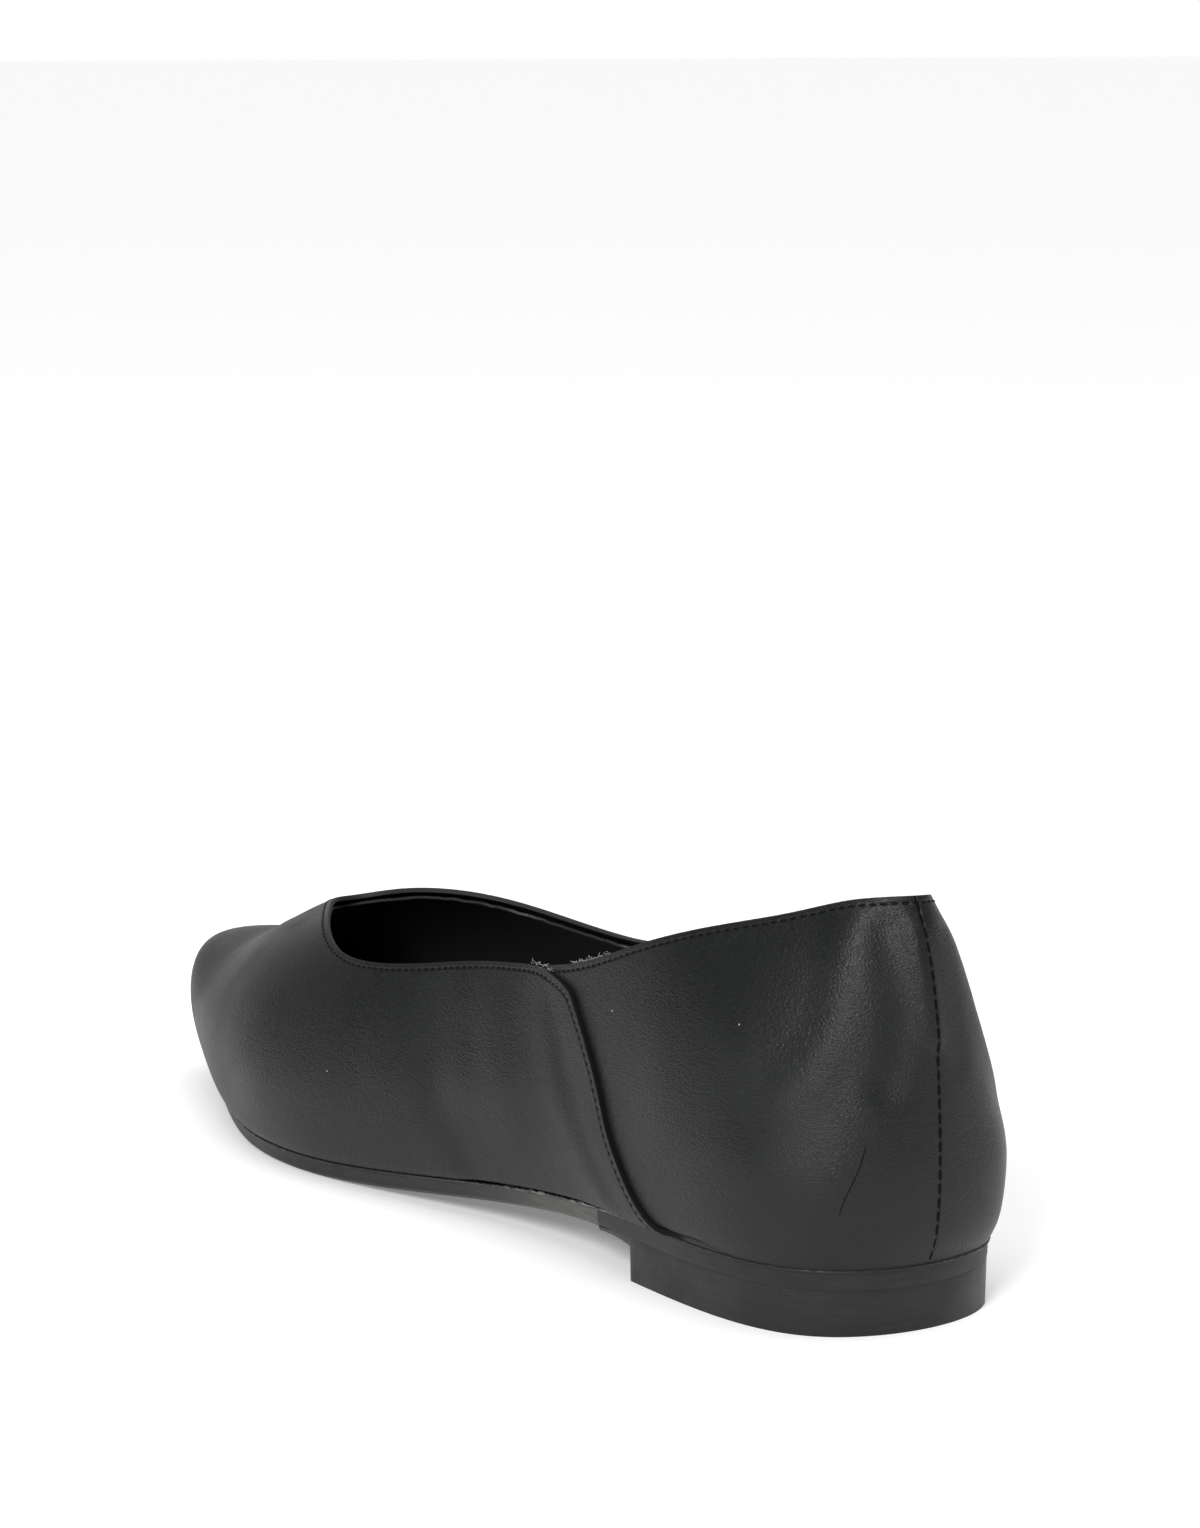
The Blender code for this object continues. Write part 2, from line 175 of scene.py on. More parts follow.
def lineAlong(edges):
    # verts of a run of edges in order, from one end to the other
    links = {}
    for edge in edges:
        for vert in edge.verts:
            links.setdefault(vert, []).append(edge)
    ends = [vert for vert, found in links.items() if len(found) == 1]
    vert = min(ends or links, key=lambda v: (v.co.x, v.co.y))
    line = [vert]
    used = set()
    while True:
        ahead = [edge for edge in links[vert] if edge not in used]
        if not ahead:
            return line
        used.add(ahead[0])
        vert = ahead[0].other_vert(vert)
        line.append(vert)


def resampled(points, step):
    # even steps along a line of points
    points = np.array(points)
    lengths = np.r_[0, np.cumsum(np.linalg.norm(np.diff(points, axis=0), axis=1))]
    places = np.linspace(0, lengths[-1], max(2, round(lengths[-1] / step) + 1))
    return np.stack([np.interp(places, lengths, points[:, axis]) for axis in range(3)], -1)


def distancesTo(line, points):
    tree = KDTree(len(line))
    for index, point in enumerate(line):
        tree.insert(point, index)
    tree.balance()
    return np.array([tree.find(point)[2] for point in points])


# Materials

def newMaterial(name, baseColour, roughness):
    material = bpy.data.materials.new(name)
    material.use_nodes = True
    shader = material.node_tree.nodes["Principled BSDF"]
    shader.inputs["Base Color"].default_value = (*baseColour, 1)
    shader.inputs["Roughness"].default_value = roughness
    return material, shader


def node(material, kind, **settings):
    # for a material or the world
    made = material.node_tree.nodes.new(kind)
    for name, value in settings.items():
        setattr(made, name, value)
    return made


def link(material, source, target):
    material.node_tree.links.new(source, target)


def objectPlace(material, stretch=(1, 1, 1)):
    place = node(material, "ShaderNodeTexCoord")
    mapping = node(material, "ShaderNodeMapping")
    mapping.inputs["Scale"].default_value = stretch
    link(material, place.outputs["Object"], mapping.inputs["Vector"])
    return mapping.outputs["Vector"]


def noiseOf(material, vector, scale, detail=3, roughness=0.5, distortion=0.0):
    noise = node(material, "ShaderNodeTexNoise")
    noise.inputs["Scale"].default_value = scale
    noise.inputs["Detail"].default_value = detail
    noise.inputs["Roughness"].default_value = roughness
    noise.inputs["Distortion"].default_value = distortion
    link(material, vector, noise.inputs["Vector"])
    return noise.outputs["Fac"]


def spread(material, value, low, high, lowOut, highOut):
    reach = node(material, "ShaderNodeMapRange", interpolation_type="SMOOTHSTEP")
    for name, number in (("From Min", low), ("From Max", high), ("To Min", lowOut), ("To Max", highOut)):
        reach.inputs[name].default_value = number
    link(material, value, reach.inputs["Value"])
    return reach.outputs["Result"]


def mathOf(material, operation, first, second):
    made = node(material, "ShaderNodeMath", operation=operation)
    for index, value in enumerate((first, second)):
        if isinstance(value, (int, float)):
            made.inputs[index].default_value = value
        else:
            link(material, value, made.inputs[index])
    return made.outputs["Value"]


def blended(material, share, first, second):
    # a colour between two, by the share
    mix = node(material, "ShaderNodeMix", data_type="RGBA")
    link(material, share, mix.inputs["Factor"])
    for name, colour in (("A", first), ("B", second)):
        socket = [entry for entry in mix.inputs if entry.name == name and entry.type == "RGBA"][0]
        if isinstance(colour, tuple):
            socket.default_value = (*colour, 1)
        else:
            link(material, colour, socket)
    return [entry for entry in mix.outputs if entry.type == "RGBA"][0]


def bumpOf(material, height, depth, strength=1.0, under=None):
    bump = node(material, "ShaderNodeBump")
    bump.inputs["Strength"].default_value = strength
    bump.inputs["Distance"].default_value = depth
    link(material, height, bump.inputs["Height"])
    if under is not None:
        link(material, under, bump.inputs["Normal"])
    return bump.outputs["Normal"]


upperLeather = {
    "deepBlack": (0.0078, 0.0084, 0.0086),
    # the lighter black: random worn patches, and the painted highlight along the folded edge
    "worn": (0.0135, 0.0143, 0.0142),
    # the folded edge of the vamp, painted lighter: a painted highlight where the fold catches the light
    "litFoldColour": (0.022, 0.0225, 0.0222),
    "seamShade": (0.0015, 0.0015, 0.0016),
    "roughness": (0.40, 0.52),
    "gloss": 0.27,
    "cloudSize": 38,        # waves to a metre, as all the sizes of patterns here
    "grainSize": 2050,
    "grainDepth": 0.00022,  # metres, as all the depths
    "creaseSize": 420,
    "creaseDepth": 0.0002,
    "wrinkleSize": 42,
    "wrinkleDepth": 0.0004,
    "stitchLine": 1.25,     # millimetres from the folded edge
    "stitchGroove": 0.00016,
    "seamGroove": 0.0004,
}


def makeUpperLeather():
    finish = upperLeather
    material, shader = newMaterial("blackCalf", finish["deepBlack"], 0.5)
    place = objectPlace(material)
    cloud = noiseOf(material, place, finish["cloudSize"], 4)
    slanted = objectPlace(material, (1, 0.55, 1))
    grain = noiseOf(material, slanted, finish["grainSize"], 2, 0.5, 0.4)
    cells = node(material, "ShaderNodeTexVoronoi", feature="DISTANCE_TO_EDGE")
    cells.inputs["Scale"].default_value = finish["grainSize"]
    link(material, slanted, cells.inputs["Vector"])
    creases = noiseOf(material, objectPlace(material, (1, 0.5, 1)), finish["creaseSize"], 4, 0.6, 0.8)
    wrinkles = noiseOf(material, objectPlace(material, (1, 0.3, 1)), finish["wrinkleSize"], 3, 0.5, 0.5)
    edge = node(material, "ShaderNodeAttribute", attribute_name="fromEdge")
    seam = node(material, "ShaderNodeAttribute", attribute_name="fromSeam")
    fromLine = mathOf(material, "SUBTRACT", edge.outputs["Fac"], finish["stitchLine"])
    groove = spread(material, mathOf(material, "ABSOLUTE", fromLine, 0), 0.0, 0.5, 0.0, 1.0)
    butted = spread(material, seam.outputs["Fac"], 0.0, 0.45, 0.0, 1.0)
    # lighter within half a millimetre of the folded edge: a painted highlight where the edge rolls over,
    # added to the random tone of the cloud
    edgeHighlight = spread(material, edge.outputs["Fac"], 0.0, 0.5, 1.0, 0.0)
    tone = mathOf(material, "ADD", spread(material, cloud, 0.35, 0.7, 0.0, 0.6), edgeHighlight)
    colour = blended(material, tone, finish["deepBlack"], finish["worn"])
    joined = spread(material, seam.outputs["Fac"], 0.06, 0.2, 1.0, 0.0)
    link(material, blended(material, joined, colour, finish["seamShade"]), shader.inputs["Base Color"])
    low, high = finish["roughness"]
    link(material, spread(material, cloud, 0.3, 0.72, low, high), shader.inputs["Roughness"])
    normal = bumpOf(material, wrinkles, finish["wrinkleDepth"], 0.35)
    normal = bumpOf(material, creases, finish["creaseDepth"], 0.28, normal)
    normal = bumpOf(material, grain, finish["grainDepth"], 0.5, normal)
    normal = bumpOf(material, cells.outputs["Distance"], finish["grainDepth"], 0.5, normal)
    normal = bumpOf(material, groove, finish["stitchGroove"], 1.0, normal)
    normal = bumpOf(material, butted, finish["seamGroove"], 1.0, normal)
    link(material, normal, shader.inputs["Normal"])
    shader.inputs["Specular IOR Level"].default_value = finish["gloss"]
    return material


liningLeather = {
    "colour": (0.006, 0.0056, 0.0052),
    "rawEdge": (0.021, 0.021, 0.02),
    "frayed": (0.09, 0.088, 0.083),
    "roughness": 0.75,
    "fibreSize": 1800,
    "fibreDepth": 0.00008,
    "frayedSize": 60,
    "grainSize": 420,
    "grainDepth": 0.0002,
}


def makeLiningLeather():
    finish = liningLeather
    material, shader = newMaterial("liningSkin", finish["colour"], finish["roughness"])
    place = objectPlace(material)
    fibre = noiseOf(material, place, finish["fibreSize"], 3, 0.7)
    edge = node(material, "ShaderNodeAttribute", attribute_name="fromEdge")
    raw = spread(material, edge.outputs["Fac"], 0.05, 0.5, 1.0, 0.0)
    raw = mathOf(material, "MULTIPLY", raw, spread(material, fibre, 0.3, 0.65, 0.3, 1.0))
    worn = spread(material, noiseOf(material, place, finish["frayedSize"], 2, 0.5), 0.54, 0.66, 0.0, 1.0)
    edgeColour = blended(material, worn, finish["rawEdge"], finish["frayed"])
    link(material, blended(material, raw, finish["colour"], edgeColour), shader.inputs["Base Color"])
    grain = noiseOf(material, place, finish["grainSize"], 4, 0.6)
    normal = bumpOf(material, grain, finish["grainDepth"], 0.5)
    normal = bumpOf(material, fibre, finish["fibreDepth"], 0.8, normal)
    link(material, normal, shader.inputs["Normal"])
    return material


sockLeather = {
    "colour": (0.014, 0.0135, 0.013),
    "rubbed": (0.03, 0.029, 0.028),
    "roughness": (0.5, 0.66),
    "cloudSize": 45,
    "grainSize": 900,
    "grainDepth": 0.0001,
}


def makeSockLeather():
    finish = sockLeather
    material, shader = newMaterial("sockSkin", finish["colour"], 0.6)
    place = objectPlace(material)
    cloud = noiseOf(material, place, finish["cloudSize"], 4)
    rubbed = spread(material, cloud, 0.4, 0.7, 0, 1)
    colour = blended(material, rubbed, finish["colour"], finish["rubbed"])
    link(material, colour, shader.inputs["Base Color"])
    link(material, spread(material, cloud, 0.3, 0.7, *finish["roughness"]), shader.inputs["Roughness"])
    grain = noiseOf(material, place, finish["grainSize"], 3, 0.6)
    link(material, bumpOf(material, grain, finish["grainDepth"], 0.6), shader.inputs["Normal"])
    return material


soleFinish = {
    "colour": (0.020, 0.020, 0.0195),
    "waist": (0.075, 0.074, 0.070),       # thinner paint where the sole rises to the heel
    "heelColour": (0.013, 0.0133, 0.0132),
    "brushed": 0.2,                       # how much lighter and darker the streaks are
    "brushSize": 1500,
    "brushDepth": 0.00005,
    "cloudSize": 60,
    "roughness": (0.42, 0.56),
    "gloss": 0.3,
    "paleFrom": 0.115,                    # metres from the back of the heel
    "paleFull": 0.080,
    "heelFrom": 0.0685,
    "heelBlend": 0.0006,
}


def alongShoe(material):
    # metres ahead of the back of the heel
    parts = node(material, "ShaderNodeSeparateXYZ")
    link(material, objectPlace(material), parts.inputs["Vector"])
    return mathOf(material, "SUBTRACT", parts.outputs["Y"], backOfHeel.y)


def makeSoleFinish():
    finish = soleFinish
    material, shader = newMaterial("soleEdgePaint", finish["colour"], 0.45)
    streaks = noiseOf(material, objectPlace(material, (0.12, 0.12, 1)), finish["brushSize"], 3, 0.6)
    cloud = noiseOf(material, objectPlace(material), finish["cloudSize"], 4)
    along = alongShoe(material)
    pale = spread(material, along, finish["paleFull"], finish["paleFrom"], 1.0, 0.0)
    colour = blended(material, pale, finish["colour"], finish["waist"])
    heelEnd = finish["heelFrom"]
    underHeel = spread(material, along, heelEnd, heelEnd + finish["heelBlend"], 1.0, 0.0)
    colour = blended(material, underHeel, colour, finish["heelColour"])
    tone = spread(material, streaks, 0.35, 0.75, 1 - finish["brushed"], 1 + finish["brushed"])
    shade = node(material, "ShaderNodeHueSaturation")
    link(material, colour, shade.inputs["Color"])
    link(material, tone, shade.inputs["Value"])
    link(material, shade.outputs["Color"], shader.inputs["Base Color"])
    shader.inputs["Specular IOR Level"].default_value = finish["gloss"]
    link(material, spread(material, cloud, 0.3, 0.7, *finish["roughness"]), shader.inputs["Roughness"])
    link(material, bumpOf(material, streaks, finish["brushDepth"], 0.7), shader.inputs["Normal"])
    return material


heelFinish = {
    "colour": (0.0105, 0.0107, 0.0106),
    "brushed": (0.0155, 0.0158, 0.0156),
    "brushSize": 1300,
    "brushDepth": 0.00004,
    "cloudSize": 75,
    "cloudDepth": 0.0003,
    "roughness": (0.36, 0.5),
    "gloss": 0.3,
    "smudge": (-22.4, 13.5, 7.6),       # a wet-looking rub, millimetres from the heel's back
    "smudgeReach": 0.0032,
    "smudgeFlat": 2.2,                  # how much wider than high it is
}


def makeHeelFinish():
    finish = heelFinish
    material, shader = newMaterial("heelPaint", finish["colour"], 0.4)
    streaks = noiseOf(material, objectPlace(material, (0.1, 0.1, 1)), finish["brushSize"], 3, 0.6)
    cloud = noiseOf(material, objectPlace(material), finish["cloudSize"], 4, 0.6)
    tone = spread(material, streaks, 0.35, 0.75, 0.0, 1.0)
    colour = blended(material, tone, finish["colour"], finish["brushed"])
    link(material, colour, shader.inputs["Base Color"])
    flat = finish["smudgeFlat"]
    spot = at(*finish["smudge"])
    away = node(material, "ShaderNodeVectorMath", operation="DISTANCE")
    link(material, objectPlace(material, (1, 1, flat)), away.inputs[0])
    away.inputs[1].default_value = (spot.x, spot.y, spot.z * flat)
    reach = finish["smudgeReach"]
    wet = spread(material, away.outputs["Value"], reach * 0.4, reach, -0.2, 0.0)
    dull = spread(material, cloud, 0.35, 0.65, *finish["roughness"])
    link(material, mathOf(material, "ADD", dull, wet), shader.inputs["Roughness"])
    normal = bumpOf(material, streaks, finish["brushDepth"], 0.6)
    normal = bumpOf(material, cloud, finish["cloudDepth"], 0.5, normal)
    link(material, normal, shader.inputs["Normal"])
    shader.inputs["Specular IOR Level"].default_value = finish["gloss"]
    return material


threadFinish = {
    "colour": (0.001, 0.001, 0.0012),
    "worn": (0.004, 0.004, 0.0044),
    "roughness": 0.6,
    "gloss": 0.1,
    "twistSize": 4200,
    "twistDepth": 0.00005,
}


def makeThread():
    finish = threadFinish
    material, shader = newMaterial("blackThread", finish["colour"], finish["roughness"])
    twist = noiseOf(material, objectPlace(material), finish["twistSize"], 2)
    link(material, blended(material, twist, finish["colour"], finish["worn"]), shader.inputs["Base Color"])
    link(material, bumpOf(material, twist, finish["twistDepth"], 0.8), shader.inputs["Normal"])
    shader.inputs["Specular IOR Level"].default_value = finish["gloss"]
    return material


dressingFinish = {
    "colour": (0.0035, 0.0035, 0.0035),
    "paintedGlint": (0.13, 0.13, 0.125),       # painted glints: pale dashes of painted highlight on the wet dressing under the waist
    "glintSize": 1300,
    "glintFrom": (0.06, 0.068),         # it comes in and fades out, metres from the heel's back
    "glintTo": (0.092, 0.104),
    "wetRoughness": (0.1, 0.3),
    "dryBehind": (0.045, 0.06),         # duller round the heel seat and ahead of the waist
    "dryAhead": (0.11, 0.14),
    "rippleSize": 700,
    "rippleDepth": 0.0003,
}


def makeDressing():
    finish = dressingFinish
    material, shader = newMaterial("edgeDressing", finish["colour"], 0.3)
    ripple = noiseOf(material, objectPlace(material), finish["rippleSize"], 3, 0.6)
    along = alongShoe(material)
    behind = spread(material, along, *finish["dryBehind"], 0.4, 0.0)
    ahead = spread(material, along, *finish["dryAhead"], 0.0, 0.35)
    wet = spread(material, ripple, 0.35, 0.65, *finish["wetRoughness"])
    dull = mathOf(material, "ADD", behind, ahead)
    link(material, mathOf(material, "ADD", wet, dull), shader.inputs["Roughness"])
    link(material, bumpOf(material, ripple, finish["rippleDepth"], 1.0), shader.inputs["Normal"])
    # pale dashes under the waist: painted glints standing in for highlights on the wet dressing
    glintDashes = noiseOf(material, objectPlace(material, (1, 0.3, 2)), finish["glintSize"], 2, 0.6)
    paintedGlint = spread(material, glintDashes, 0.5, 0.6, 0.0, 1.0)
    near = spread(material, along, *finish["glintFrom"], 0.0, 1.0)
    far = spread(material, along, *finish["glintTo"], 1.0, 0.0)
    paintedGlint = mathOf(material, "MULTIPLY", paintedGlint, mathOf(material, "MULTIPLY", near, far))
    link(material, blended(material, paintedGlint, finish["colour"], finish["paintedGlint"]), shader.inputs["Base Color"])
    return material


cutLeather = {
    "lapShade": (0.004, 0.004, 0.004),      # the vamp's cut edge where it laps over the quarter, painted near-black as painted shade of the step
    "lapShadeGloss": 0.12,
    "foldFrom": (1.5, 5.0),             # millimetres from the lap, past which the edge is folded and the painted shade gives way to the lighter fold
    "roughness": 0.6,
    "fibreSize": 1600,
    "fibreDepth": 0.0001,
}


def makeCutLeather():
    finish = cutLeather
    material, shader = newMaterial("cutEdge", upperLeather["worn"], finish["roughness"])
    # near the lap the cut edge is painted near-black: painted shade of the step beside it
    lap = node(material, "ShaderNodeAttribute", attribute_name="fromLap")
    fold = spread(material, lap.outputs["Fac"], *finish["foldFrom"], 0.0, 1.0)
    # further from the lap the folded edge is painted lighter: a painted highlight
    colour = blended(material, fold, finish["lapShade"], upperLeather["litFoldColour"])
    link(material, colour, shader.inputs["Base Color"])
    gloss = spread(material, fold, 0.0, 1.0, finish["lapShadeGloss"], upperLeather["gloss"])
    link(material, gloss, shader.inputs["Specular IOR Level"])
    fibre = noiseOf(material, objectPlace(material), finish["fibreSize"], 3, 0.7)
    link(material, bumpOf(material, fibre, finish["fibreDepth"], 0.8), shader.inputs["Normal"])
    return material


calf = makeUpperLeather()
cutSkin = makeCutLeather()
liningSkin = makeLiningLeather()
sockSkin = makeSockLeather()
solePaint = makeSoleFinish()
heelPaint = makeHeelFinish()
thread = makeThread()
dressing = makeDressing()
print("materials made")


# The upper, cut into its panels

upperShape = mergedCopy("upper")
upperRegions = regionsOf(upperShape, math.radians(40))


def regionWith(vert):
    return max((region for region in upperRegions if region & set(vert.link_faces)), key=len)


def vertsOf(faces):
    return {vert for face in faces for vert in face.verts}


vampFaces = regionWith(max(upperShape.verts, key=lambda v: v.co.y))
quarterFaces = regionWith(min(upperShape.verts, key=lambda v: v.co.y))
insideFaces = max(upperRegions, key=len)
foldFaces = set(upperShape.faces) - vampFaces - quarterFaces - insideFaces
vampVerts = vertsOf(vampFaces)
quarterVerts = vertsOf(quarterFaces)
bothVerts = vampVerts | quarterVerts
lapFaces = {
    face for face in foldFaces
    if set(face.verts) <= bothVerts and set(face.verts) & vampVerts and set(face.verts) & quarterVerts
}
crownFaces = foldFaces - lapFaces
print("panels:", len(vampFaces), len(quarterFaces), len(insideFaces), len(lapFaces), len(crownFaces))

rimMark = upperShape.verts.layers.float.new("rimMark")
lapMark = upperShape.verts.layers.float.new("lapMark")
for vert in vertsOf(crownFaces):
    vert[rimMark] = 1.0
for vert in vertsOf(lapFaces) & vertsOf(vampFaces):
    vert[lapMark] = 1.0


def markedEdges(shape, markName, least=0.999):
    mark = shape.verts.layers.float[markName]
    return [
        edge for edge in shape.edges
        if edge.is_boundary and all(vert[mark] > least for vert in edge.verts)
    ]


def vertsOfEdges(edges):
    return {vert for edge in edges for vert in edge.verts}


vamp = {
    "thickness": mm(0.95),
    "rounding": mm(0.22),
    "cornerAlong": mm(16),     # the top corner is cut round, this far along the topline
    "cornerDown": mm(8.5),
    "cornerLimit": 1.2,        # how far past the corner the rounding still counts
}


def roundCorner(shape, side):
    # slides the vamp's top corner along its own surface to a round one
    surface = BVHTree.FromBMesh(shape)
    rim = [vert for vert in vertsOfEdges(markedEdges(shape, "rimMark")) if vert.co.x * side > 0]
    lap = [vert for vert in vertsOfEdges(markedEdges(shape, "lapMark")) if vert.co.x * side > 0]
    corner = (set(rim) & set(lap)).pop().co.copy()
    ahead = min(rim, key=lambda v: abs((v.co - corner).length - vamp["cornerAlong"])).co - corner
    down = min(lap, key=lambda v: abs((v.co - corner).length - vamp["cornerDown"])).co - corner
    ahead.normalize()
    down.normalize()
    for vert in shape.verts:
        offset = vert.co - corner
        if offset.length > 2 * vamp["cornerAlong"]:
            continue
        both = ahead.dot(down)
        alongPart = (offset.dot(ahead) - both * offset.dot(down)) / (1 - both * both)
        downPart = (offset.dot(down) - both * offset.dot(ahead)) / (1 - both * both)
        p = 1 - alongPart / vamp["cornerAlong"]
        q = 1 - downPart / vamp["cornerDown"]
        if p <= 0 or q <= 0:
            continue
        p = min(p, vamp["cornerLimit"])
        q = min(q, vamp["cornerLimit"])
        moved = vert.co + ahead * (p - p * math.sqrt(1 - q * q / 2)) * vamp["cornerAlong"]
        moved += down * (q - q * math.sqrt(1 - p * p / 2)) * vamp["cornerDown"]
        vert.co = surface.find_nearest(moved)[0]


def writeDistances(shape, name, line):
    # distance from a line in millimetres, for the finish
    layer = shape.verts.layers.float.new(name)
    for vert, distance in zip(shape.verts, distancesTo(line, [vert.co for vert in shape.verts])):
        vert[layer] = distance * 1000


def writeFromEdge(shape, line):
    writeDistances(shape, "fromEdge", resampled(line, mm(0.25)))


backSeam = {"reach": 30, "farAway": 50.0, "sewnFrom": 12.4, "sewnTo": 76}      # millimetres


def writeFromSeam(shape):
    # distance from the back seam in millimetres, and a large one away from the heel
    layer = shape.verts.layers.float.new("fromSeam")
    for vert in shape.verts:
        atBack = vert.co.y < at(0, backSeam["reach"], 0).y
        vert[layer] = abs(vert.co.x - backOfHeel.x) * 1000 if atBack else backSeam["farAway"]


# Soft troughs and ridges: a line of places, how far to each side it reaches, its height
vampCreases = [
    # beside the curved edge: the flat band that is stitched down, then the roll in front of it
    {
        "line": (
            (-26.5, 83.5, 49), (-28.6, 75.5, 40), (-29.3, 70, 30),
            (-29.2, 63, 20), (-28.6, 57, 14),
        ),
        "reach": 4.2,
        "height": -0.14,
    },
    {
        "line": (
            (-28.3, 83, 42), (-29.2, 76.5, 31),
            (-29, 68.5, 20), (-28.5, 62, 14.5),
        ),
        "reach": 5.6,
        "height": 0.36,
    },
    # soft hollow over the waist and the fullness behind it
    {
        "line": (
            (-27.7, 122.5, 40.4), (-29.1, 118.9, 34.9),
            (-30.2, 113.4, 22.3), (-29.0, 108, 16.5),
        ),
        "reach": 10,
        "height": -0.5,
    },
    {
        "line": (
            (-25.4, 103.6, 43.5), (-26.8, 99.9, 38.7),
            (-27.8, 96.6, 31.8), (-28.1, 94.5, 24.6),
        ),
        "reach": 11,
        "height": 0.5,
    },
    # the wall curls in low at the waist and shows the floor's light
    {
        "line": (
            (-29, 108, 27), (-28, 96, 29),
            (-28.3, 86, 30), (-28.9, 79, 31),
        ),
        "reach": 11,
        "height": 0.55,
    },
    {
        "line": (
            (-27, 106, 10), (-26.5, 96, 11.5),
            (-26.3, 86, 12.5), (-27, 75, 14),
        ),
        "reach": 8,
        "height": -0.4,
    },
    {"line": ((-33.5, 133, 36), (-35.2, 131, 27)), "reach": 8, "height": 0.25},
    # gathers behind the toe, on both sides of the throat
    {"line": ((-12, 203, 40), (-15.5, 196, 42.5), (-18, 188, 43.5)), "reach": 3.5, "height": 0.16},
    {"line": ((-17, 204, 36.5), (-20.5, 196, 39)), "reach": 3.0, "height": -0.14},
    {"line": ((12, 201, 41), (17, 190, 43)), "reach": 4, "height": 0.16},
    {"line": ((28.5, 120, 40), (30, 116, 28), (29.5, 110, 18)), "reach": 9, "height": -0.4},
    {"line": ((26.5, 100, 42), (28, 96, 30)), "reach": 10, "height": 0.4},
    {
        "line": (
            (26.3, 83.5, 49), (28.8, 75.5, 40), (29.5, 70, 30),
            (29.2, 63, 20), (28.6, 57, 14),
        ),
        "reach": 4.2,
        "height": -0.14,
    },
    {
        "line": (
            (28.3, 83, 42), (29.2, 76.5, 31),
            (29, 68.5, 20), (28.5, 62, 14.5),
        ),
        "reach": 5.6,
        "height": 0.36,
    },
]
quarterCreases = [
    # the heel is drawn in at the top: a roll beside the back seam, a hollow, then a long roll
    {
        "line": (
            (-2.0, 5.4, 70), (-1.6, 4.1, 67),
            (-1.0, 2.4, 60), (-0.6, 1.3, 52),
        ),
        "reach": 3.3,
        "height": 0.8,
    },
    {
        "line": (
            (-6.2, 7.6, 70.6), (-6.4, 5.4, 64.1), (-6.4, 3.7, 57.4),
            (-7.2, 2.8, 50.7), (-9.4, 2.8, 44),
        ),
        "reach": 5.4,
        "height": -1.0,
    },
    {
        "line": (
            (-11.2, 12.6, 71), (-12.8, 11.2, 65.5), (-14.6, 10, 59.0),
            (-16.6, 9.6, 52.3), (-20.0, 12, 46.3), (-23, 14.6, 41.0),
        ),
        "reach": 7.0,
        "height": 0.65,
    },
    {"line": ((4.6, 5.3, 68), (5.2, 2.9, 57.9), (5.2, 1.5, 47.6)), "reach": 5.0, "height": -0.3},
    {"line": ((10.5, 10.5, 66), (14.5, 8.5, 53), (20.5, 12, 42)), "reach": 7.0, "height": 0.4},
    {"line": ((-27.5, 45, 45), (-28.5, 42, 32)), "reach": 12, "height": 0.25},
]


def addCreases(shape, creases):
    points = coordinates(shape)
    normals = np.array([vert.normal for vert in shape.verts])
    for crease in creases:
        line = resampled([at(*place) for place in crease["line"]], mm(0.5))
        distances = distancesTo(line, points) * 1000
        bump = ease(1 - distances / crease["reach"]) * crease["height"]
        points = points + normals * mm(bump)[:, None]
    setCoordinates(shape, points)


def makeVamp():
    shape = smoothed(cutOut(upperShape, vampFaces), 2)
    for side in (-1, 1):
        roundCorner(shape, side)
    shape.normal_update()
    edges = set(markedEdges(shape, "rimMark")) | set(markedEdges(shape, "lapMark"))
    line = [vert.co.copy() for vert in lineAlong(edges)]
    laps = [vert.co.copy() for vert in vertsOfEdges(markedEdges(shape, "lapMark"))]
    addCreases(shape, vampCreases)
    writeFromEdge(shape, line)
    writeDistances(shape, "fromLap", laps)
    writeFromSeam(shape)
    surface = BVHTree.FromBMesh(shape)
    piece = pieceFrom(shape, "vamp", calf, ["upper"])
    piece.data.materials.append(cutSkin)
    addThickness(piece, vamp["thickness"], vamp["rounding"], 3, 1)
    return line, surface


quarter = {
    "thickness": mm(1.1),
    "rounding": mm(0.45),
    "underVamp": 3,            # columns of faces that run on beneath the vamp
    "stepDown": mm(1.04),      # from the vamp's outside to the quarter's
}


def hiddenFaces():
    hidden = set()
    edge = {vert for vert in vertsOf(vampFaces) if vert[lapMark] > 0}
    for column in range(quarter["underVamp"]):
        hidden |= {face for vert in edge for face in vert.link_faces if face in vampFaces}
        edge = vertsOf(hidden)
    return hidden


def makeQuarter():
    hidden = hiddenFaces()
    moves = {}
    for vert in vertsOf(hidden):
        outward = sum((face.normal for face in vert.link_faces if face in vampFaces), Vector()).normalized()
        moves[vert.index] = -outward * quarter["stepDown"]
    shape = smoothed(cutOut(upperShape, quarterFaces | lapFaces | hidden, moves), 2)
    line = [vert.co.copy() for vert in lineAlong(markedEdges(shape, "rimMark"))]
    addCreases(shape, quarterCreases)
    writeFromEdge(shape, line)
    writeFromSeam(shape)
    surface = BVHTree.FromBMesh(shape)
    piece = pieceFrom(shape, "quarter", calf, ["upper"])
    addThickness(piece, quarter["thickness"], quarter["rounding"], 3)
    return line, surface


lining = {
    "thickness": mm(0.6),
    "rounding": mm(0.12),
    "belowRim": mm(1.3),
    "ragged": mm(0.13),
}


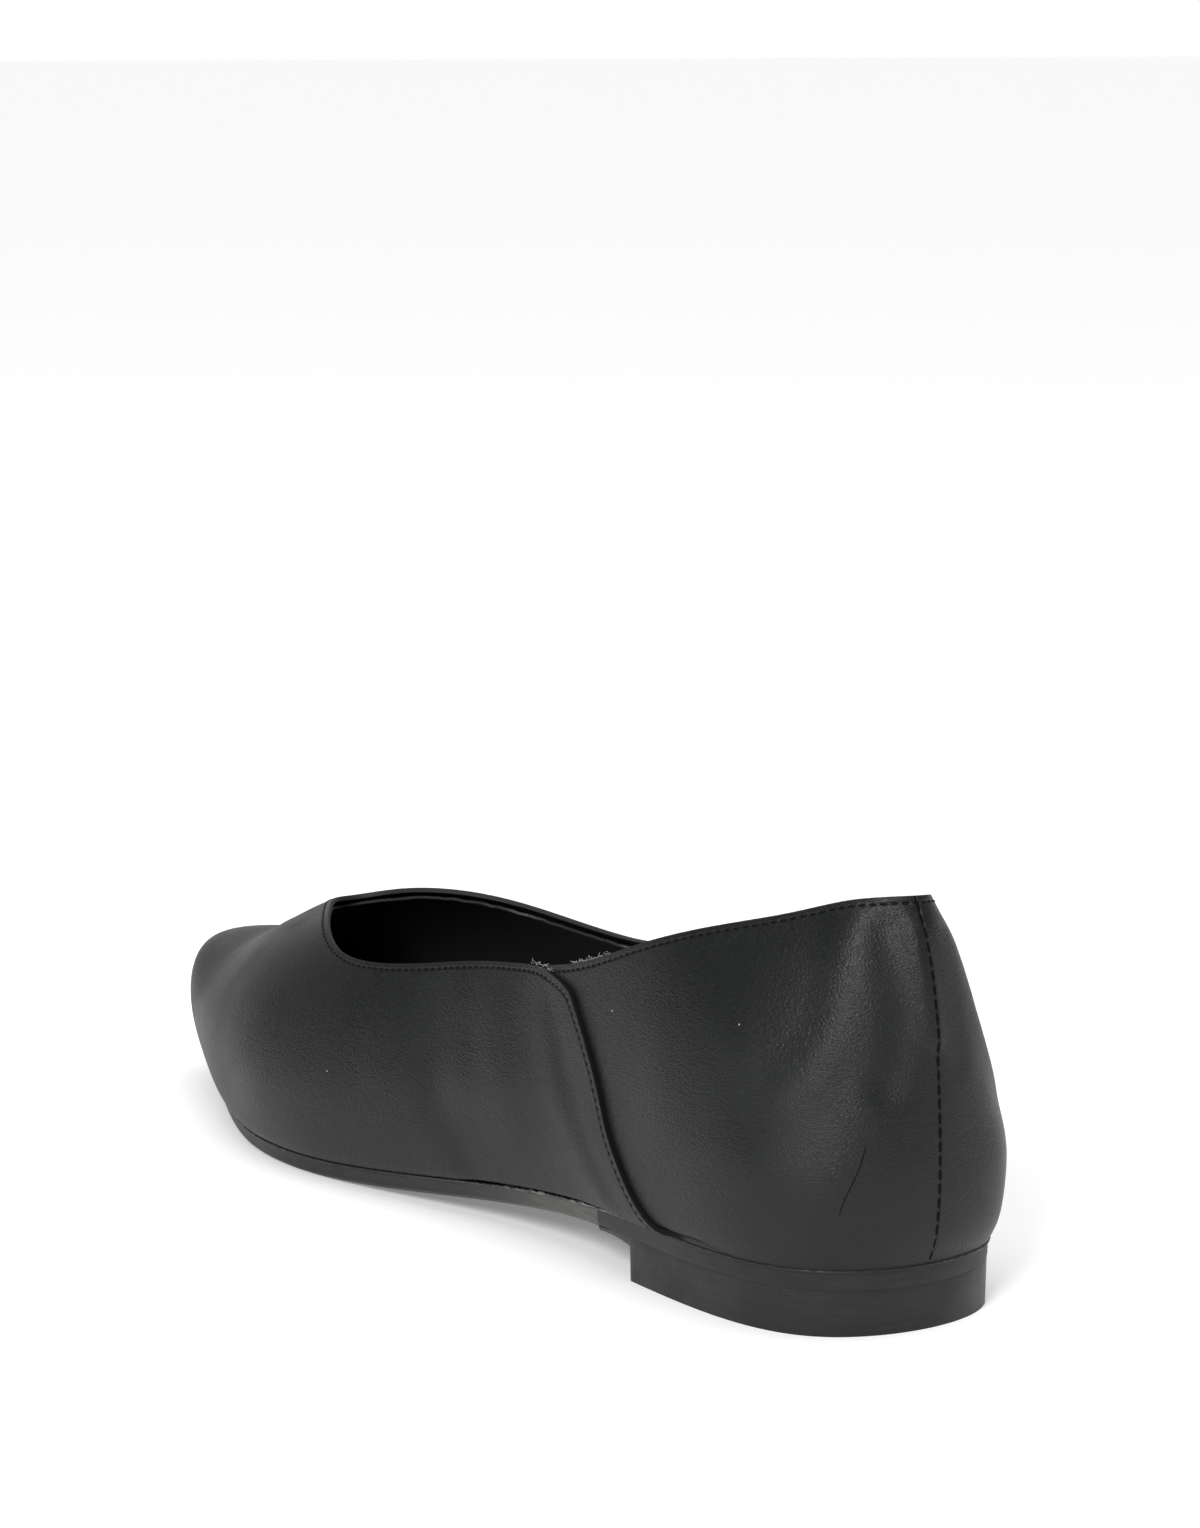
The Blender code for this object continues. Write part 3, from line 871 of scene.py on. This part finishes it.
def makeLining():
    shape = cutOut(upperShape, insideFaces)
    mark = shape.verts.layers.float["rimMark"]
    rim = [vert for vert in shape.verts if vert[mark] > 0.999]
    moves = {}
    for vert in rim:
        below = [edge for edge in vert.link_edges if edge.other_vert(vert)[mark] < 0.5]
        if below:
            inward = min(below, key=lambda edge: edge.calc_length()).other_vert(vert).co - vert.co
            moves[vert] = inward.normalized() * lining["belowRim"]
    for vert, move in moves.items():
        vert.co += move
    shape = smoothed(shape, 2)
    chance = random.Random(4)
    line = lineAlong(markedEdges(shape, "rimMark"))
    wander = 0.0
    for vert in line[:-1]:
        wander = 0.6 * wander + chance.uniform(-1, 1) * lining["ragged"]
        vert.co.z += wander
    writeFromEdge(shape, [vert.co.copy() for vert in line])
    piece = pieceFrom(shape, "lining", liningSkin, ["upper"])
    addThickness(piece, lining["thickness"], lining["rounding"], 2)


vampLine, vampSurface = makeVamp()
quarterLine, quarterSurface = makeQuarter()
makeLining()
print("upper sewn")


# Stitches

toplineStitch = {
    "pitch": mm(1.9),
    "length": mm(0.68),
    "width": mm(0.22),
    "height": mm(0.15),
    "inset": mm(1.25),
}
lapStitch = {"pitch": mm(1.7), "length": mm(0.5), "width": mm(0.15), "height": mm(0.09), "from": 84}
backStitch = {"pitch": mm(2.5), "length": mm(1.0), "width": mm(0.24), "height": mm(0.16)}


def stitchLine(edgeLine, surface, inset):
    # a line on the surface at an even distance from its edge
    points = resampled(edgeLine, mm(0.5))
    inside = []
    for index, point in enumerate(points):
        before = points[max(index - 3, 0)]
        after = points[min(index + 3, len(points) - 1)]
        normal = surface.find_nearest(Vector(point))[1]
        sideways = normal.cross(Vector(after - before)).normalized() * inset
        tries = [surface.find_nearest(Vector(point) + sideways * sign) for sign in (-1, 1)]
        reached = [(found[0] - Vector(point)).length for found in tries]
        inside.append(tries[reached.index(max(reached))][0])
    inside = np.array(inside)
    kernel = np.ones(5) / 5
    padded = np.concatenate([inside[:1].repeat(2, 0), inside, inside[-1:].repeat(2, 0)])
    return np.stack([np.convolve(padded[:, axis], kernel, "valid") for axis in range(3)], -1)


def sewStitches(name, path, surface, stitch):
    shape = bmesh.new()
    places = resampled(path, stitch["pitch"] / 2)
    for index in range(1, len(places) - 1, 2):
        place, normal = surface.find_nearest(Vector(places[index]))[:2]
        forward = Vector(places[index + 1] - places[index - 1]).normalized()
        sideways = normal.cross(forward).normalized()
        axes = Matrix((
            (*sideways * stitch["width"], 0),
            (*normal * stitch["height"], 0),
            (*forward * stitch["length"], 0),
            (*place, 1),
        )).transposed()
        bmesh.ops.create_uvsphere(shape, u_segments=8, v_segments=6, radius=1, matrix=axes)
    pieceFrom(shape, name, thread)


def backSeamPath(surface):
    path = []
    for height in np.arange(backSeam["sewnFrom"], backSeam["sewnTo"], 0.5):
        place = surface.ray_cast(at(0, -40, height), Vector((0, 1, 0)))[0]
        if place is not None:
            path.append(place)
    return path


def sewVamp():
    # along the topline, and finer down the lap on each side
    path = stitchLine(vampLine, vampSurface, toplineStitch["inset"])
    onRim = path[:, 1] > at(0, lapStitch["from"], 0).y
    sewStitches("vampStitches", path[onRim], vampSurface, toplineStitch)
    for name, side in (("lapStitchesOuter", -1), ("lapStitchesInner", 1)):
        sewStitches(name, path[~onRim & (path[:, 0] * side > 0)], vampSurface, lapStitch)


sewVamp()
quarterPath = stitchLine(quarterLine, quarterSurface, toplineStitch["inset"])
sewStitches("toplineStitches", quarterPath, quarterSurface, toplineStitch)
sewStitches("backSeamStitches", backSeamPath(quarterSurface), quarterSurface, backStitch)
print("stitches sewn")


# Marks of wear: a scuff on the counter, bits of lint, and the frayed lining under the vamp's corner
scuff = {"pitch": mm(0.7), "length": mm(0.9), "width": mm(0.12), "height": mm(0.035)}
scuffPlaces = (
    (-13.7, 3.4, 34.1), (-14.6, 3.6, 31.2), (-15.9, 3.9, 28.4), (-17.0, 4.7, 25.6), (-17.7, 5.3, 23.0),
)
lint = {
    "places": ((-27.3, 59.7, 49.6), (-36, 145.7, 23.2), (-23.8, 26.3, 52.8)),
    "radius": mm(0.2),
    "colour": (0.32, 0.31, 0.29),
    "roughness": 0.9,
    "gloss": 0.2,
}
frays = {
    "step": mm(0.3),
    "vampFrom": (84, 94),      # millimetres along the shoe where the edge is frayed
    "quarterFrom": (65, 79),
    "inward": 1.1,             # millimetres
    "rise": 0.8,
    "length": mm(0.7),
    "width": mm(0.06),
}


def makeLintFibre():
    material, shader = newMaterial("paleFibre", lint["colour"], lint["roughness"])
    shader.inputs["Specular IOR Level"].default_value = lint["gloss"]
    return material


def makeLint(material):
    shape = bmesh.new()
    for place in lint["places"]:
        onSurface = min(
            (surface.find_nearest(at(*place)) for surface in (vampSurface, quarterSurface)),
            key=lambda found: found[3],
        )
        spot = Matrix.Translation(onSurface[0])
        bmesh.ops.create_icosphere(shape, subdivisions=1, radius=lint["radius"], matrix=spot)
    pieceFrom(shape, "lint", material)


def makeFrays(material):
    # short fibres that stand up along the raw edge of the lining
    chance = random.Random(9)
    shape = bmesh.new()
    for line, (behind, ahead) in ((vampLine, frays["vampFrom"]), (quarterLine, frays["quarterFrom"])):
        for place in resampled(line, frays["step"]):
            along = (place[1] - backOfHeel.y) * 1000
            if place[0] > 0 or not behind < along < ahead:
                continue
            rise = chance.uniform(0, frays["rise"]) * (0.5 + 0.5 * math.sin(along * 2.1))
            root = Vector(place) + Vector((frays["inward"] + chance.uniform(-0.2, 0.2), 0, rise)) / 1000
            lean = Vector((chance.uniform(-0.3, 0.6), chance.uniform(-1, 1), chance.uniform(-0.2, 0.7)))
            size = (frays["width"], frays["width"], frays["length"] * chance.uniform(0.5, 1), 1)
            turned = lean.normalized().to_track_quat("Z", "Y").to_matrix().to_4x4()
            placed = Matrix.Translation(root) @ turned @ Matrix.Diagonal(size)
            bmesh.ops.create_icosphere(shape, subdivisions=1, radius=1, matrix=placed)
    pieceFrom(shape, "frayedLining", material)


paleFibre = makeLintFibre()
sewStitches("scuff", [at(*place) for place in scuffPlaces], quarterSurface, scuff)
makeLint(paleFibre)
makeFrays(paleFibre)
print("marks of wear made")


# The bottom

outsole = {"rounding": mm(0.28), "crease": 28, "trimmed": 0.12}
heel = {"rounding": mm(0.25), "lift": mm(0.28)}      # lifted to close the joint under the sole
sock = {"rounding": mm(0.5)}


def weighRoundings(shape):
    # sharp edges are rounded, the ones where sole and heel are trimmed together hardly at all
    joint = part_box("heel")[1]
    layer = shape.edges.layers.float.new("bevel_weight_edge")
    for edge in shape.edges:
        if len(edge.link_faces) < 2 or edge.calc_face_angle() < math.radians(outsole["crease"]):
            continue
        middle = (edge.verts[0].co + edge.verts[1].co) / 2
        trimmed = abs(middle.z - joint.z) < mm(0.6) and middle.y < joint.y
        edge[layer] = outsole["trimmed"] if trimmed else 1.0


def creased(shape, angle):
    layer = shape.edges.layers.float.get("crease_edge") or shape.edges.layers.float.new("crease_edge")
    for edge in shape.edges:
        if len(edge.link_faces) == 2 and edge.calc_face_angle() > math.radians(angle):
            edge[layer] = 1.0
    return shape


def makeBottomPiece(nodeName, name, material, rounding, lift=0.0):
    shape = mergedCopy(nodeName)
    shape.normal_update()
    for vert in vertsOf({face for face in shape.faces if face.normal.z > 0.8}):
        vert.co.z += lift
    shape = smoothed(creased(shape, outsole["crease"]), 2)
    weighRoundings(shape)
    piece = pieceFrom(shape, name, material, [nodeName])
    addRounding(piece, rounding, 3)
    piece.modifiers["rounding"].limit_method = "WEIGHT"


makeBottomPiece("outsole", "outsoleEdge", solePaint, outsole["rounding"])
makeBottomPiece("heel", "heelBlock", heelPaint, heel["rounding"], heel["lift"])
makeBottomPiece("insole", "sock", sockSkin, sock["rounding"])


bead = {"radius": mm(0.36), "outward": mm(0.1), "up": mm(0.1), "step": mm(2)}


def makeBead():
    # the line of edge dressing between the upper and the sole
    shape = mergedCopy("outsole")
    shape.normal_update()
    topEdges = [
        edge for edge in shape.edges
        if len(edge.link_faces) == 2 and sum(face.normal.z > 0.8 for face in edge.link_faces) == 1
    ]
    loop = resampled([vert.co.copy() for vert in lineAlong(topEdges)], bead["step"])[:-1]
    shape.free()
    middle = loop.mean(0)
    curve = bpy.data.curves.new("dressingLine", "CURVE")
    curve.dimensions = "3D"
    curve.bevel_depth = bead["radius"]
    curve.bevel_resolution = 2
    spline = curve.splines.new("NURBS")
    spline.points.add(len(loop) - 1)
    spline.use_cyclic_u = True
    spline.order_u = 4
    spline.resolution_u = 3
    for index, (point, place) in enumerate(zip(spline.points, loop)):
        along = loop[(index + 1) % len(loop)] - loop[index - 1]
        outward = np.array([along[1], -along[0], 0.0])
        outward /= np.linalg.norm(outward)
        if outward @ (place - middle) < 0:
            outward = -outward
        point.co = (*(place + outward * bead["outward"] + np.array([0, 0, bead["up"]])), 1)
    thing = bpy.data.objects.new("dressingLine", curve)
    bpy.context.scene.collection.objects.link(thing)
    done = thing.evaluated_get(bpy.context.evaluated_depsgraph_get())
    tube = bmesh.new()
    tube.from_mesh(done.to_mesh())
    done.to_mesh_clear()
    bpy.data.objects.remove(thing)
    pieceFrom(tube, "dressingLine", dressing)


makeBead()
print("bottom made")


# Floor, light and camera

studio = {
    "floorColour": (0.93, 0.93, 0.93),
    "floorGlow": 0.22,          # the floor is a lit table, so shadows on it stay light
    "floorSize": 60,
    "worldStrength": 1.0,
    "ceiling": 0.26,            # the tent is darker overhead than round the horizon
    "ceilingReach": (0.15, 0.55),
    "nearSide": 0.3,            # and darker on the side it is seen from than beyond the shoe
    "nearReach": (-0.6, 0.5),
    "farLeft": 0.28,            # and on the left
    "leftReach": (0.2, 0.7),
    "farRight": 0.3,            # and on the right
    "rightReach": (-0.7, -0.2),
    "sunStrength": 2.0,
    "sunWidth": 70,             # degrees
    "sunTilt": 8,
    "aimHeight": mm(30),
}
lamps = [
    {"name": "behindCamera", "place": (-1.25, -0.95, 1.0), "size": 0.6, "power": 26},
]
photoView = {
    "turn": 55.9,          # degrees from straight across to straight along
    "tilt": 9.2,
    "distance": 0.782,
    "lens": 106.6,
    "heelRight": mm(58.6),  # the back of the heel lies this far right of the middle
    "heelBelow": mm(98.5),
}


def makeFloor():
    material, shader = newMaterial("paleFloor", studio["floorColour"], 0.8)
    shader.inputs["Emission Color"].default_value = (1, 1, 1, 1)
    shader.inputs["Emission Strength"].default_value = studio["floorGlow"]
    shader.inputs["Specular IOR Level"].default_value = 0     # no paler band towards the horizon
    shape = bmesh.new()
    bmesh.ops.create_grid(shape, x_segments=1, y_segments=1, size=studio["floorSize"] / 2)
    mesh = bpy.data.meshes.new("floor")
    shape.to_mesh(mesh)
    shape.free()
    mesh.materials.append(material)
    floor = bpy.data.objects.new("floor", mesh)
    bpy.context.scene.collection.objects.link(floor)


def aim(thing, target):
    thing.rotation_euler = (target - thing.location).to_track_quat("-Z", "Y").to_euler()


def partAlong(material, direction, axis):
    dot = node(material, "ShaderNodeVectorMath", operation="DOT_PRODUCT")
    link(material, direction, dot.inputs[0])
    dot.inputs[1].default_value = axis
    return dot.outputs["Value"]


def makeLights():
    world = bpy.data.worlds.new("studio")
    world.use_nodes = True
    background = world.node_tree.nodes["Background"]
    background.inputs["Strength"].default_value = studio["worldStrength"]
    turn = math.radians(photoView["turn"])
    direction = node(world, "ShaderNodeTexCoord").outputs["Generated"]
    height = partAlong(world, direction, (0, 0, 1))
    beyond = partAlong(world, direction, (math.cos(turn), math.sin(turn), 0))
    leftward = partAlong(world, direction, (-math.sin(turn), math.cos(turn), 0))
    fall = spread(world, height, *studio["ceilingReach"], 1, studio["ceiling"])
    side = spread(world, beyond, *studio["nearReach"], studio["nearSide"], 1)
    left = spread(world, leftward, *studio["leftReach"], 1, studio["farLeft"])
    right = spread(world, leftward, *studio["rightReach"], studio["farRight"], 1)
    tent = mathOf(world, "MULTIPLY", fall, side)
    sides = mathOf(world, "MULTIPLY", left, right)
    link(world, mathOf(world, "MULTIPLY", tent, sides), background.inputs["Color"])
    bpy.context.scene.world = world
    sun = bpy.data.lights.new("softSun", "SUN")
    sun.energy = studio["sunStrength"]
    sun.angle = math.radians(studio["sunWidth"])
    sunThing = bpy.data.objects.new("softSun", sun)
    sunThing.rotation_euler = (0, math.radians(studio["sunTilt"]), 0)
    bpy.context.scene.collection.objects.link(sunThing)
    for lamp in lamps:
        light = bpy.data.lights.new(lamp["name"], "AREA")
        light.size = lamp["size"]
        light.energy = lamp["power"]
        thing = bpy.data.objects.new(lamp["name"], light)
        thing.location = lamp["place"]
        bpy.context.scene.collection.objects.link(thing)
        aim(thing, Vector((0, 0, studio["aimHeight"])))


def makeCamera():
    turn = math.radians(photoView["turn"])
    tilt = math.radians(photoView["tilt"])
    ahead = Vector((math.cos(turn) * math.cos(tilt), math.sin(turn) * math.cos(tilt), -math.sin(tilt)))
    right = Vector((math.sin(turn), -math.cos(turn), 0))
    up = right.cross(ahead)
    middle = backOfHeel - right * photoView["heelRight"] + up * photoView["heelBelow"]
    lens = bpy.data.cameras.new("photoView")
    lens.lens = photoView["lens"]
    lens.sensor_width = 36
    lens.clip_start = 0.05
    lens.clip_end = 200
    camera = bpy.data.objects.new("photoView", lens)
    camera.location = middle - ahead * photoView["distance"]
    bpy.context.scene.collection.objects.link(camera)
    aim(camera, middle)
    bpy.context.scene.camera = camera


makeFloor()
makeLights()
makeCamera()
bpy.context.scene.view_settings.view_transform = "Standard"
print("studio ready")
